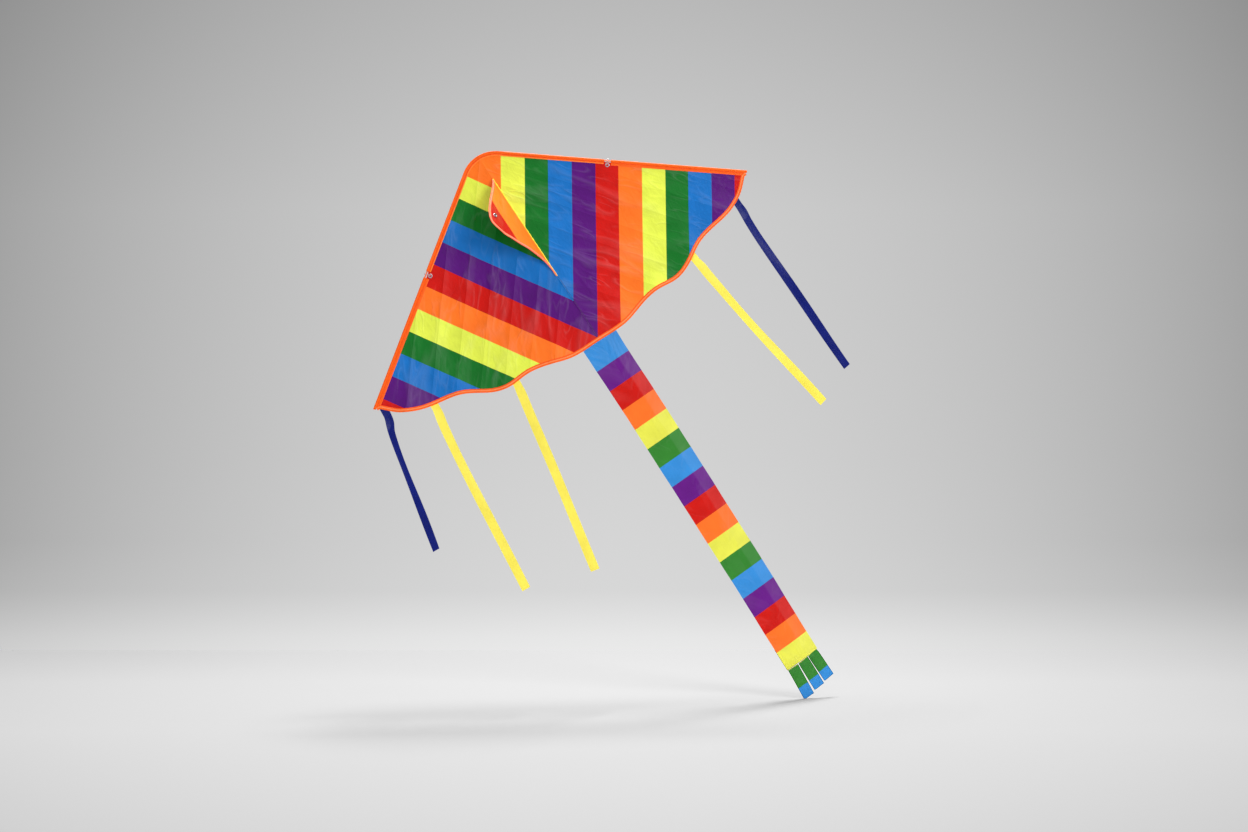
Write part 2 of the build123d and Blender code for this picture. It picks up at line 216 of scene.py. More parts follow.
def sail_depth(x, z):
    """How far back the cloth stands from the sail plane."""
    x, z = np.broadcast_arrays(np.asarray(x, float), np.asarray(z, float))
    out = np.abs(x)
    inward = inward_of(x, z)
    above = z - trailing_z(x)
    loose = smooth(inward, 0.017, 0.06) * smooth(out, 0.008, 0.055)
    depth = BELLY * smooth(inward, 0.017, 0.19) * smooth(out, 0.008, 0.20)
    depth = depth + FLUTTER * loose * np.exp(-above / 0.07) * np.sin(out / 0.021 + 1.1 * np.sign(x))
    for side in (-1, 1):
        across = -(out * math.sin(PACK_ANGLE) + z * math.cos(PACK_ANGLE)) - PACK_PLACE[side]
        share = np.mod(across / PACK_PITCH[side], 1)
        bow = 4 * PACK_DEPTH[side] * share * (1 - share)
        depth = depth + np.where(x * side >= 0, loose * bow, 0)
    for side, *shape in CREASES:
        depth = depth + np.where(x * side >= 0, loose * crease(x, z, *shape), 0)
    rod_bulge = 0.0007 * np.exp(-(x / 0.005) ** 2)
    return depth - rod_bulge


def on_sail(x, z, front=0.0):
    """Points on the sail, raised to the front by front."""
    x, z, front = np.broadcast_arrays(x, z, front)
    return np.stack([x, sail_depth(x, z) - front, z], axis=-1)


# ---- mesh builders ----------------------------------------------------------------------------
def grid_normals(grid):
    """Unit normals of a grid of points."""
    along = np.gradient(grid, axis=0)
    across = np.gradient(grid, axis=1)
    normals = np.cross(along, across)
    length = np.linalg.norm(normals, axis=-1, keepdims=True)
    return normals / np.maximum(length, 1e-12)


def finish_mesh(name, points, faces, uv, material, sharp=50):
    mesh = bpy.data.meshes.new(name)
    mesh.from_pydata(place(points).tolist(), [], faces)
    layer = mesh.uv_layers.new(name="cloth")
    corners = np.empty(len(mesh.loops), dtype=np.int32)
    mesh.loops.foreach_get("vertex_index", corners)
    layer.data.foreach_set("uv", np.asarray(uv, np.float32)[corners].ravel())
    mesh.shade_smooth()
    mesh.set_sharp_from_angle(angle=math.radians(sharp))
    mesh.materials.append(material)
    mesh.update()
    piece = bpy.data.objects.new(name, mesh)
    bpy.context.scene.collection.objects.link(piece)
    return piece


def sheet(name, grid, uv, material, thickness=CLOTH):
    """A closed thin piece of cloth round a grid of points."""
    rows, columns = grid.shape[:2]
    half = grid_normals(grid) * thickness / 2
    points = np.concatenate([(grid + half).reshape(-1, 3), (grid - half).reshape(-1, 3)])
    index = np.arange(rows * columns).reshape(rows, columns)
    quads = np.stack([index[:-1, :-1], index[1:, :-1], index[1:, 1:], index[:-1, 1:]], -1)
    top = quads.reshape(-1, 4)
    bottom = top[:, ::-1] + rows * columns
    border = np.concatenate([index[:, 0], index[-1, 1:], index[-2::-1, -1], index[0, -2:0:-1]])
    after = np.roll(border, -1)
    side = np.stack([after, border, border + rows * columns, after + rows * columns], -1)
    faces = np.concatenate([top, bottom, side]).tolist()
    flat_uv = uv.reshape(-1, 2)
    return finish_mesh(name, points, faces, np.concatenate([flat_uv, flat_uv]), material)


def turned(name, centre, axis, profile, material, segments=40):
    """A ring or rod end: a closed profile of (radius, height) turned round an axis."""
    axis = unit(axis)
    side = unit(np.cross(axis, [0.3, 0.2, 1.0]))
    other = np.cross(axis, side)
    profile = np.asarray(profile, float)
    count = len(profile)
    turns = np.linspace(0, 2 * np.pi, segments, endpoint=False)
    points = []
    for turn in turns:
        ray = side * math.cos(turn) + other * math.sin(turn)
        points.append(centre + profile[:, :1] * ray + profile[:, 1:] * axis)
    points = np.concatenate(points)
    faces = []
    for i in range(segments):
        for j in range(count):
            a, b = i * count, (i + 1) % segments * count
            faces.append((a + j, b + j, b + (j + 1) % count, a + (j + 1) % count))
    flat = points @ np.stack([side, other], axis=1)
    return finish_mesh(name, points, faces, flat, material, sharp=40)


STITCH_SIDES = 5
STITCH_RINGS = ((-1.0, 0.35), (-0.6, 0.95), (0.0, 1.0), (0.6, 0.95), (1.0, 0.35))


def stitches(name, path, up, material, pitch=0.0032, length=0.0023, radius=0.00028):
    """A row of thread stitches lying along a path; up is the way out of the cloth."""
    path = np.asarray(path, float)
    travelled = np.concatenate([[0], np.cumsum(np.linalg.norm(np.diff(path, axis=0), axis=1))])
    centres = np.arange(pitch / 2, travelled[-1], pitch)
    ups = np.broadcast_to(np.asarray(up, float), path.shape)
    points, faces = [], []
    for at in centres:
        centre = np.array([np.interp(at, travelled, path[:, i]) for i in range(3)])
        ahead = np.array([np.interp(at + 0.001, travelled, path[:, i]) for i in range(3)])
        behind = np.array([np.interp(at - 0.001, travelled, path[:, i]) for i in range(3)])
        lift = unit([np.interp(at, travelled, ups[:, i]) for i in range(3)])
        along = unit(ahead - behind)
        side = unit(np.cross(along, lift))
        first = len(points)
        for offset, width in STITCH_RINGS:
            sink = radius * 0.9 * offset ** 2
            for k in range(STITCH_SIDES):
                turn = 2 * math.pi * k / STITCH_SIDES
                round_it = side * math.cos(turn) + lift * math.sin(turn)
                points.append(centre + along * offset * length / 2 - lift * sink
                              + round_it * radius * width)
        for ring in range(len(STITCH_RINGS) - 1):
            for k in range(STITCH_SIDES):
                a = first + ring * STITCH_SIDES
                b = a + STITCH_SIDES
                after = (k + 1) % STITCH_SIDES
                faces.append((a + k, a + after, b + after, b + k))
        faces.append(tuple(first + k for k in reversed(range(STITCH_SIDES))))
        last = first + (len(STITCH_RINGS) - 1) * STITCH_SIDES
        faces.append(tuple(last + k for k in range(STITCH_SIDES)))
    points = np.array(points)
    return finish_mesh(name, points, faces, points[:, [0, 2]], material, sharp=80)


# ---- materials --------------------------------------------------------------------------------
def linear(red, green, blue):
    """A colour given as 0 to 255 in sRGB, as linear light."""
    def one(value):
        value = value / 255
        return value / 12.92 if value <= 0.04045 else ((value + 0.055) / 1.055) ** 2.4
    return (one(red), one(green), one(blue), 1.0)


ORANGE = linear(252, 116, 30)
YELLOW = linear(224, 236, 78)
GREEN = linear(8, 110, 32)
BLUE = linear(16, 110, 190)
PURPLE = linear(84, 8, 116)
RED = linear(202, 12, 2)
SAIL_COLOURS = [ORANGE, YELLOW, GREEN, BLUE, PURPLE, RED]
BINDING = linear(246, 96, 12)
SALMON = linear(250, 108, 84)
# the keel's red is darker than the sail's red: painted shade, standing in for less light on the keel
SHADED_KEEL_RED = linear(176, 14, 4)
NAVY = linear(4, 20, 104)
RIBBON_YELLOW = linear(240, 224, 84)
SEAM_YELLOW = linear(252, 226, 62)
TAIL_COLOURS = [linear(52, 140, 214), linear(102, 20, 132), linear(204, 16, 4),
                linear(252, 116, 36), linear(230, 230, 80), linear(50, 130, 44)]


class Nodes:
    """A short way to write a node tree: every method returns an output socket."""

    def __init__(self, tree):
        self.tree = tree

    def add(self, kind, inputs=(), output=0, **settings):
        node = self.tree.nodes.new("ShaderNode" + kind)
        for key, value in settings.items():
            setattr(node, key, value)
        for key, value in dict(inputs).items():
            if isinstance(value, bpy.types.NodeSocket):
                self.tree.links.new(value, node.inputs[key])
            else:
                node.inputs[key].default_value = value
        return node.outputs[output]

    def math(self, operation, a, b=0.0, c=0.0):
        return self.add("Math", {0: a, 1: b, 2: c}, operation=operation)

    def times(self, a, b):
        return self.math("MULTIPLY", a, b)

    def plus(self, a, b):
        return self.math("ADD", a, b)

    def mix(self, share, a, b, blend="MIX"):
        return self.add("Mix", {0: share, 6: a, 7: b}, output=2, data_type="RGBA", blend_type=blend)

    def remap(self, value, low, high, new_low=0.0, new_high=1.0):
        return self.add("MapRange", {0: value, 1: low, 2: high, 3: new_low, 4: new_high})

    def noise(self, vector, scale, detail=3.0, roughness=0.5, distortion=0.0):
        return self.add("TexNoise", {"Vector": vector, "Scale": scale, "Detail": detail,
                                     "Roughness": roughness, "Distortion": distortion})

    def stretched(self, vector, x, y, turn=0.0):
        """The vector with its axes scaled, for streaks."""
        return self.add("Mapping", {"Vector": vector, "Rotation": (0, 0, turn), "Scale": (x, y, 1)})

    def uv(self):
        return self.add("UVMap", uv_map="cloth")

    def split(self, vector):
        node = self.tree.nodes.new("ShaderNodeSeparateXYZ")
        self.tree.links.new(vector, node.inputs[0])
        return node.outputs[0], node.outputs[1]

    def steps(self, position, colours):
        """Bands of flat colour, position running from 0 to 1 over all of them."""
        node = self.tree.nodes.new("ShaderNodeValToRGB")
        ramp = node.color_ramp
        ramp.interpolation = "CONSTANT"
        while len(ramp.elements) < len(colours):
            ramp.elements.new(0.5)
        for i, colour in enumerate(colours):
            ramp.elements[i].position = i / len(colours)
            ramp.elements[i].color = colour
        self.tree.links.new(position, node.inputs[0])
        return node.outputs[0]


def new_material(name):
    material = bpy.data.materials.new(name)
    material.use_nodes = True
    material.node_tree.nodes.clear()
    return material, Nodes(material.node_tree)


def output(nodes, shader):
    nodes.add("OutputMaterial", {"Surface": shader}, output=0) if False else None
    node = nodes.tree.nodes.new("ShaderNodeOutputMaterial")
    nodes.tree.links.new(shader, node.inputs["Surface"])


def crease_lines(n, uv, across_scale, along_scale, sharpness):
    """0 to 1 on broken, roughly parallel soft lines that run down and outward on both wings."""
    u, v = n.split(uv)
    out = n.math("ABSOLUTE", u)
    other_wing = n.times(n.math("LESS_THAN", u, 0.0), 3.7)
    along = n.plus(n.times(out, math.cos(PACK_ANGLE)), n.times(v, -math.sin(PACK_ANGLE)))
    across = n.plus(n.times(out, math.sin(PACK_ANGLE)), n.times(v, math.cos(PACK_ANGLE)))
    where = n.add("CombineXYZ", {0: n.times(across, across_scale), 1: n.times(along, along_scale),
                                 2: other_wing})
    ridged = n.noise(where, 1.0, detail=0.6, distortion=0.25)
    off = n.math("ABSOLUTE", n.math("SUBTRACT", ridged, 0.5))
    line = n.math("MAXIMUM", n.math("SUBTRACT", 1.0, n.times(off, sharpness)), 0.0)
    broken = n.remap(n.noise(where, 0.7, detail=0.0), 0.46, 0.66)
    return n.times(line, broken)


# fine creases: spacing across and along, sharpness, height, and how much painted highlight lightens the print along
# them
FINE_CREASES = ((24.0, 5.0, 10.0, 0.0012, 0.035), (52.0, 14.0, 12.0, 0.0007, 0.03))


def cloth_material(name, colour, roughness=0.40, see_through=0.08, thread=0.00045, sheen=0.02,
                   wrinkle=0.00030, weave_depth=0.00003, mottle=0.07, marks=None, creased=0.0):
    """Thin woven polyester.  colour(nodes, uv) gives its print; marks adds height in metres, and
    creased is how strongly handling creases show."""
    material, n = new_material(name)
    uv = n.uv()
    u, v = n.split(uv)
    warp = n.math("SINE", n.times(u, 2 * math.pi / thread))
    weft = n.math("SINE", n.times(v, 2 * math.pi / thread))
    weave = n.times(warp, weft)
    cloudy = n.noise(uv, 18.0, detail=4.0)
    streaks = n.noise(n.stretched(uv, 900.0, 25.0), 1.0, detail=2.0)
    base = colour(n, uv)
    shade = n.plus(n.remap(cloudy, 0.3, 0.7, -mottle, mottle), n.remap(streaks, 0.3, 0.7, -0.03, 0.03))
    shade = n.plus(shade, n.times(weave, 0.02))
    base = n.mix(1.0, base, n.add("CombineColor", dict.fromkeys((0, 1, 2), n.plus(shade, 1.0))),
                 blend="MULTIPLY")
    crumple = n.noise(n.stretched(uv, 1.0, 0.6, 0.5), 55.0, detail=3.0, distortion=0.6)
    height = n.plus(n.times(crumple, wrinkle * 4), n.times(weave, weave_depth))
    if marks is not None:
        height = n.plus(height, marks(n, uv))
    if creased:
        for across_scale, along_scale, sharpness, depth, crease_highlight in FINE_CREASES:
            line = crease_lines(n, uv, across_scale, along_scale, sharpness)
            height = n.plus(height, n.times(line, depth * creased))
            # painted highlight: the print is lightened towards light grey along the creases, standing in for the
            # shine on their ridges
            base = n.mix(n.times(line, crease_highlight * creased), base, (0.8, 0.8, 0.8, 1.0))
    bump = n.add("Bump", {"Strength": 1.0, "Distance": 1.0, "Height": height})
    rough = n.remap(cloudy, 0.3, 0.7, roughness - 0.06, roughness + 0.06)
    solid = n.add("BsdfPrincipled", {"Base Color": base, "Roughness": rough, "Normal": bump,
                                     "Specular IOR Level": 0.14, "Sheen Weight": sheen,
                                     "Sheen Roughness": 0.4})
    glow = n.add("BsdfTranslucent", {"Color": base, "Normal": bump})
    output(n, n.add("MixShader", {0: see_through, 1: solid, 2: glow}))
    return material


def plain(colour):
    return lambda n, uv: n.mix(0.0, colour, colour)


def stripes(n, uv):
    """Six colours in chevrons that mirror about the spine; u is across and v up the spine."""
    u, v = n.split(uv)
    out = n.math("ABSOLUTE", u)
    down_edge = n.plus(n.times(out, SIN + STRIPE_SLANT * COS),
                       n.times(v, STRIPE_SLANT * SIN - COS))
    count = n.math("DIVIDE", n.math("SUBTRACT", down_edge, STRIPE_START - STRIPE), STRIPE)
    return n.steps(n.math("FRACT", n.math("DIVIDE", count, len(SAIL_COLOURS))), SAIL_COLOURS)


def panels(n, uv):
    """The tail's colours, one to a panel, with a painted highlight over its folded right third; v is the distance
    down the tail.
    """
    u, v = n.split(uv)
    count = n.math("DIVIDE", v, TAIL_PANEL)
    print_colour = n.steps(n.math("FRACT", n.math("DIVIDE", count, len(TAIL_COLOURS))), TAIL_COLOURS)
    # painted highlight: the right third, which its fold tilts towards the light, is mixed a little towards white
    painted_highlight_third = n.remap(u, 0.0150, 0.0205, 0.0, 0.02)
    return n.mix(painted_highlight_third, print_colour, (1.0, 1.0, 1.0, 1.0))


def keel_print(n, uv):
    """Orange beside the spine and red beyond, the red darkened as painted shade; u is the distance out."""
    u, v = n.split(uv)
    return n.mix(n.math("GREATER_THAN", u, 0.070), ORANGE, SHADED_KEEL_RED)


def banded(painted_line_colour, edge_colour, line_at, line_width, edge_at, main=BINDING):
    """Tape with a line of painted light along it, dark for shade and light for a highlight, and an inner edge in
    another tone; v is across the tape.
    """
    def colour(n, uv):
        u, v = n.split(uv)
        # the band of painted shade or painted highlight along the tape
        line = n.math("SUBTRACT", 1.0, n.math("SMOOTH_MIN", 1.0, n.math("DIVIDE", n.math(
            "ABSOLUTE", n.math("SUBTRACT", v, line_at)), line_width), 0.2))
        base = n.mix(line, main, painted_line_colour)
        return n.mix(n.remap(v, edge_at, edge_at + 0.0015), base, edge_colour)
    return colour


def packing_marks(n, uv):
    """Thin raised lines, with hollow bands between them, where the kite is folded for storage."""
    u, v = n.split(uv)
    out = n.math("ABSOLUTE", u)
    across = n.plus(n.times(out, -math.sin(PACK_ANGLE)), n.times(v, -math.cos(PACK_ANGLE)))
    total = None
    for side in (-1, 1):
        place_in = n.math("DIVIDE", n.math("SUBTRACT", across, PACK_PLACE[side]), PACK_PITCH[side])
        share = n.math("FRACT", place_in)
        bow = n.times(n.times(share, n.math("SUBTRACT", 1.0, share)), 4.0 * PACK_DEPTH[side])
        middle = n.math("ABSOLUTE", n.math("SUBTRACT", share, 0.5))
        line = n.remap(middle, 0.5 - 0.0022 / PACK_PITCH[side], 0.5)
        here = n.math("GREATER_THAN", n.times(u, side), 0.0)
        mark = n.times(line, 0.00025 if side < 0 else 0.00012)
        mark = n.times(n.math("SUBTRACT", mark, bow), here)
        total = mark if total is None else n.plus(total, mark)
    return total


def solid_material(name, colour, roughness, scale=400.0, speckle=0.05, bump=0.00002, **extra):
    """A moulded, drawn or plated part, with faint colour and height variation."""
    material, n = new_material(name)
    where = n.add("TexCoord", output=3)
    grain = n.noise(where, scale, detail=4.0)
    wear = n.noise(where, scale / 12, detail=3.0)
    shade = n.plus(n.remap(wear, 0.3, 0.7, -speckle, speckle), 1.0)
    base = n.mix(1.0, colour, n.add("CombineColor", dict.fromkeys((0, 1, 2), shade)),
                 blend="MULTIPLY")
    height = n.times(grain, bump)
    normal = n.add("Bump", {"Strength": 1.0, "Distance": 1.0, "Height": height})
    rough = n.remap(grain, 0.3, 0.7, roughness * 0.8, roughness * 1.25)
    shader = n.add("BsdfPrincipled", {"Base Color": base, "Roughness": rough, "Normal": normal, **extra})
    output(n, shader)
    return material


def clear_material(name, colour, haze):
    """Thin clear plastic that shows what is behind it, with a milky haze and shine."""
    material, n = new_material(name)
    where = n.add("TexCoord", output=3)
    flow = n.noise(where, 260.0, detail=2.0)
    normal = n.add("Bump", {"Strength": 1.0, "Distance": 1.0, "Height": n.times(flow, 0.0004)})
    body = n.add("BsdfPrincipled", {"Base Color": colour, "Roughness": 0.14, "Normal": normal,
                                    "Specular IOR Level": 0.6})
    through = n.add("BsdfTransparent", {"Color": (0.95, 0.86, 0.86, 1)})
    amount = n.remap(flow, 0.3, 0.7, haze - 0.1, haze + 0.1)
    output(n, n.add("MixShader", {0: amount, 1: through, 2: body}))
    return material


SAIL = cloth_material("sail_print", stripes, marks=packing_marks, creased=1.0)
KEEL = cloth_material("keel_print", keel_print, creased=0.4)
TAIL = cloth_material("tail_print", panels, roughness=0.40, see_through=0.10, creased=0.5)
# painted shade: the dark line at each sleeve's stitch row stands for the shade in its fold
UPPER_BINDING = cloth_material("upper_binding", banded(linear(235, 62, 12), linear(255, 128, 50),
                                                       SLEEVE_STITCH, 0.0016, 0.0100),
                               see_through=0.04, thread=0.0006, mottle=0.04)
LOWER_BINDING = cloth_material("lower_binding", banded(linear(240, 64, 10), linear(255, 96, 30),
                                                       SLEEVE_STITCH, 0.0014, 0.0130),
                               see_through=0.04, thread=0.0006, mottle=0.04)
# painted highlight: the light line down the middle of the trailing tape
TRAILING_BINDING = cloth_material("trailing_binding", banded(linear(255, 152, 100), linear(236, 72, 24),
                                                             0.0056, 0.0022, 0.0085),
                                  see_through=0.04, thread=0.0006, mottle=0.04)
# painted highlight: the light line down the middle of the keel tape
KEEL_BINDING = cloth_material("keel_binding", banded(linear(255, 156, 124), linear(236, 88, 60),
                                                     KEEL_TAPE_WIDTH / 2, 0.0016, 0.0066, SALMON),
                              see_through=0.04, thread=0.0006)
SEAM = cloth_material("seam_yellow", plain(SEAM_YELLOW), see_through=0.04, thread=0.0006)
NAVY_SATIN = cloth_material("navy_satin", plain(NAVY), roughness=0.34, see_through=0.03,
                            mottle=0.10)
YELLOW_SATIN = cloth_material("yellow_satin", plain(RIBBON_YELLOW), roughness=0.38,
                              see_through=0.0, weave_depth=0.000008, mottle=0.05)
POCKET = cloth_material("pocket_cloth", plain(linear(48, 48, 52)), see_through=0.0, thread=0.0006)
ORANGE_THREAD = solid_material("orange_thread", linear(232, 70, 18), 0.6, scale=3000.0)
YELLOW_THREAD = solid_material("yellow_thread", linear(235, 215, 80), 0.6, scale=3000.0)
DARK_THREAD = solid_material("dark_thread", linear(40, 34, 44), 0.6, scale=3000.0)
NICKEL = solid_material("nickel", linear(168, 164, 172), 0.30, scale=900.0, Metallic=1.0)
FIBREGLASS = solid_material("fibreglass", linear(222, 219, 200), 0.38, scale=700.0, speckle=0.1)
ORANGE_ROD = solid_material("orange_fibreglass", linear(238, 96, 26), 0.42, scale=700.0, speckle=0.1)
VINYL = solid_material("black_vinyl", linear(26, 26, 29), 0.55)
CLEAR = clear_material("clear_plastic", linear(226, 200, 200), 0.22)


# ---- placing pieces and hiding the CAD nodes they replace -------------------------------------
WINGS = {-1: "left", 1: "right"}


def over_fold(piece):
    """Cloth that crosses the crease between the centre and a wing."""
    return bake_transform(piece)


def made(piece, slot, *nodes):
    if nodes:
        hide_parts(*nodes)
    return piece


# ---- sail and its bindings --------------------------------------------------------------------
def top_of_cloth(x, inset):
    """Upper edge of the cloth at a distance out, inset from the kite's own edge."""
    straight = -(x * COS + inset) / SIN
    reach = NOSE_RADIUS - inset
    arc = -NOSE_RADIUS / SIN + np.sqrt(np.maximum(reach ** 2 - x ** 2, 0))
    return np.where(x < NOSE_ARC_END * SIN - inset * COS, arc, straight)


def build_sail(side):
    inset = 0.004
    widest = 0.5925
    out = np.linspace(0, widest, int(widest / STEP))
    high = top_of_cloth(out, inset)
    along = out * SIN - high * COS
    notch = smooth(along, NOTCH[0] - 0.002, NOTCH[0]) * smooth(-along, -NOTCH[1] - 0.002, -NOTCH[1])
    high = high - notch * (NOTCH[2] - inset) / SIN
    low = trailing_z(out) + 0.0015
    share = np.linspace(0, 1, 190)[:, None]
    z = high + (low - high) * share
    x = np.broadcast_to(side * out, z.shape)
    grid = on_sail(x, z)
    piece = sheet(WINGS[side] + "_sail", grid, np.stack([x, z], -1), SAIL)
    made(piece, "sail_cloth", "centre_sail", WINGS[side] + "_wing_sail")
    over_fold(piece)


def hem_profile(width, radius, stitch):
    """A hem folded round the spar, from its front inner edge to its back one, as (across, front)."""
    turn = np.linspace(math.radians(38), math.radians(180), 12)
    tunnel = np.stack([radius - radius * np.cos(np.pi - turn), radius * np.sin(turn)], -1)
    front = [(width, 0.0006), (width - 0.001, 0.0008), ((width + stitch) / 2, 0.00085),
             (stitch + 0.0010, 0.0007), (stitch, TAPE_GAP), (stitch - 0.0008, 0.0009)]
    upper = np.concatenate([front, tunnel])
    lower = upper[-2::-1] * [1, -1]
    return np.concatenate([upper, lower])


def tape_profile(width):
    """A tape folded over an edge, as (across, front)."""
    turn = np.linspace(math.radians(90), math.radians(180), 5)
    radius = 0.0008
    fold = np.stack([radius + radius * np.cos(turn), radius * np.sin(turn)], -1)
    front = [(width, 0.0005), (width * 0.85, 0.0008), (width * 0.62, 0.0009),
             (width * 0.5, TAPE_GAP + 0.0001), (width * 0.38, 0.0009), (width * 0.2, 0.0009)]
    upper = np.concatenate([front, fold])
    return np.concatenate([upper, upper[-2::-1] * [1, -1]])


def edge_path(side, start, end, step=0.003):
    """Stations down a leading edge, round the nose if start is 0: points, inward, distance."""
    points, inward, travel = [], [], []
    if start <= NOSE_ARC_END:
        sweep = math.pi / 2 - NOSE_HALF_ANGLE
        for turn in np.linspace(0, sweep, 26)[:-1]:
            points.append((side * NOSE_RADIUS * math.sin(turn),
                           NOSE_RADIUS * (math.cos(turn) - 1 / SIN)))
            inward.append((-side * math.sin(turn), -math.cos(turn)))
            travel.append(NOSE_ARC_END - NOSE_RADIUS * (sweep - turn))
    for along in np.linspace(start, end, int((end - start) / step) + 2):
        points.append((side * along * SIN, -along * COS))
        inward.append((-side * COS, -SIN))
        travel.append(along)
    return np.array(points), np.array(inward), np.array(travel)


def on_edge(points, inward, profile):
    """A hem or tape laid on the sail along an edge; profile is (stations, points, 2)."""
    x = points[:, :1] + inward[:, :1] * profile[..., 0]
    z = points[:, 1:] + inward[:, 1:] * profile[..., 0]
    return on_sail(x, z, profile[..., 1])


def across_uv(travel, profile):
    """u down the edge, v across the tape."""
    u = np.broadcast_to(travel[:, None], profile.shape[:2])
    return np.stack([u, profile[..., 0]], -1)


def puckered(profile, travel, amount=0.00016, pitch=0.009):
    """The profile at every station, with small gathers along the seam."""
    wave = np.sin(travel / pitch * 2 * np.pi) + 0.7 * np.sin(travel / pitch * 3.9 + 1.3)
    full = np.repeat(profile[None], len(travel), axis=0)
    full[..., 1] *= (1 + wave * amount / 0.002)[:, None]
    full[..., 0] += wave[:, None] * amount * 0.5 * (profile[None, :, 0] > 0.002)
    return full


def build_upper_sleeve(side):
    name = WINGS[side] + "_upper_hem"
    points, inward, travel = edge_path(side, *UPPER_SLEEVE[:2])
    width = UPPER_SLEEVE[2]
    flat = hem_profile(width, 0.0008, SLEEVE_STITCH)
    round_hem = hem_profile(width, SLEEVE_RADIUS, SLEEVE_STITCH)
    share = smooth(travel, 0.076, 0.092)[:, None, None]
    profile = puckered(flat, travel) * (1 - share) + puckered(round_hem, travel) * share
    grid = on_edge(points, inward, profile)
    piece = sheet(name, grid, across_uv(travel, profile), UPPER_BINDING, TAPE_CLOTH)
    made(piece, "orange_binding", "nose_binding", WINGS[side] + "_upper_sleeve")
    over_fold(piece)
    add_seam(name, points, inward, travel, SLEEVE_STITCH, side, ORANGE_THREAD, TAPE_GAP)


def build_lower_sleeve(side):
    name = WINGS[side] + "_lower_hem"
    points, inward, travel = edge_path(side, *LOWER_SLEEVE[:2])
    profile = puckered(hem_profile(LOWER_SLEEVE[2], SLEEVE_RADIUS, SLEEVE_STITCH + 0.001), travel)
    pinch = smooth(travel, 0.742, 0.7535)[:, None]
    profile[..., 0] *= 1 - 0.62 * pinch
    profile[..., 1] *= 1 - 0.55 * pinch
    grid = on_edge(points, inward, profile)
    piece = sheet(name, grid, across_uv(travel, profile), LOWER_BINDING, TAPE_CLOTH)
    made(piece, "orange_binding", WINGS[side] + "_lower_sleeve")
    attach(piece, WINGS[side] + "_wing")
    keep = travel < 0.742
    seam = add_seam(name, points[keep], inward[keep], travel[keep], SLEEVE_STITCH + 0.001, None,
                    ORANGE_THREAD, TAPE_GAP)
    for row in seam:
        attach(row, WINGS[side] + "_wing")


def add_seam(name, points, inward, travel, across, side, thread, lift):
    """Stitches along a seam, front and back.  They cross the fold if a side is given."""
    x = points[:, 0] + inward[:, 0] * across
    z = points[:, 1] + inward[:, 1] * across
    rows = []
    for face, front in (("front", 1), ("back", -1)):
        path = on_sail(x, z, front * (lift + TAPE_CLOTH * 0.75))
        row = stitches(f"{name}_{face}_stitches", path, (0, -front, 0), thread)
        if side is not None:
            over_fold(row)
        rows.append(row)
    return rows


def trailing_path(side, step=0.003):
    """Stations along the trailing edge from the spine to the wing tip."""
    end = EDGE_LENGTH * SIN - 0.004
    out = np.linspace(0, end, int(end / step) * 2)
    z = trailing_z(out)
    travel = np.concatenate([[0], np.cumsum(np.hypot(np.diff(out), np.diff(z)))])
    even = np.arange(0, travel[-1], step)
    out, z = np.interp(even, travel, out), np.interp(even, travel, z)
    slope = np.gradient(z, out)
    size = np.hypot(slope, 1)
    inward = np.stack([-side * slope / size, 1 / size], -1)
    return np.stack([side * out, z], -1), inward, even


def build_trailing_tape(side):
    name = WINGS[side] + "_trailing_binding"
    points, inward, travel = trailing_path(side)
    profile = puckered(tape_profile(TRAILING_TAPE_WIDTH), travel, amount=0.00024, pitch=0.013)
    grid = on_edge(points, inward, profile)
    piece = sheet(name, grid, across_uv(travel, profile), TRAILING_BINDING, TAPE_CLOTH)
    made(piece, "orange_binding", "centre_trailing_tape", WINGS[side] + "_trailing_tape")
    over_fold(piece)
    add_seam(name, points, inward, travel, TRAILING_TAPE_WIDTH / 2, side, ORANGE_THREAD, TAPE_GAP)


# ---- keel -------------------------------------------------------------------------------------
KEEL_CAMBER = 0.004


def on_keel(out, z, left=0.0):
    """Points on the keel's cloth; left raises them to its left side."""
    out, z, left = np.broadcast_arrays(out, z, left)
    bow = KEEL_CAMBER * np.sin(np.pi * np.clip(out / 0.14, 0, 1)) \
        * np.sin(np.pi * np.clip((-z - 0.097) / 0.315, 0, 1))
    ripple = 0.0006 * np.sin(out * 95 + z * 60) * smooth(out, 0.01, 0.04)
    base = np.array([0, KEEL_HINGE_Y, 0])
    spot = base + out[..., None] * KEEL_OUT + (bow + ripple + left)[..., None] * KEEL_NORMAL
    spot[..., 2] += z
    return spot


def at_keel_root(piece):
    """Cloth at the root of the keel, where it is sewn to the sail; its placement is baked into its mesh."""
    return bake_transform(piece)


def build_keel():
    top, foot = KEEL_Z[-1] - 0.0015, KEEL_Z[0] + 0.0015
    z = np.linspace(top, foot, 130)[:, None]
    share = np.linspace(0, 1, 70)[None]
    reach = np.interp(z, KEEL_Z, KEEL_U) - 0.002
    out = np.maximum(reach, 0.0015) * share
    z = np.broadcast_to(z, out.shape)
    piece = sheet("keel_cloth", on_keel(out, z), np.stack([out, z], -1), KEEL)
    made(piece, "keel_cloth", "keel_panel")
    at_keel_root(piece)
    build_keel_tape()


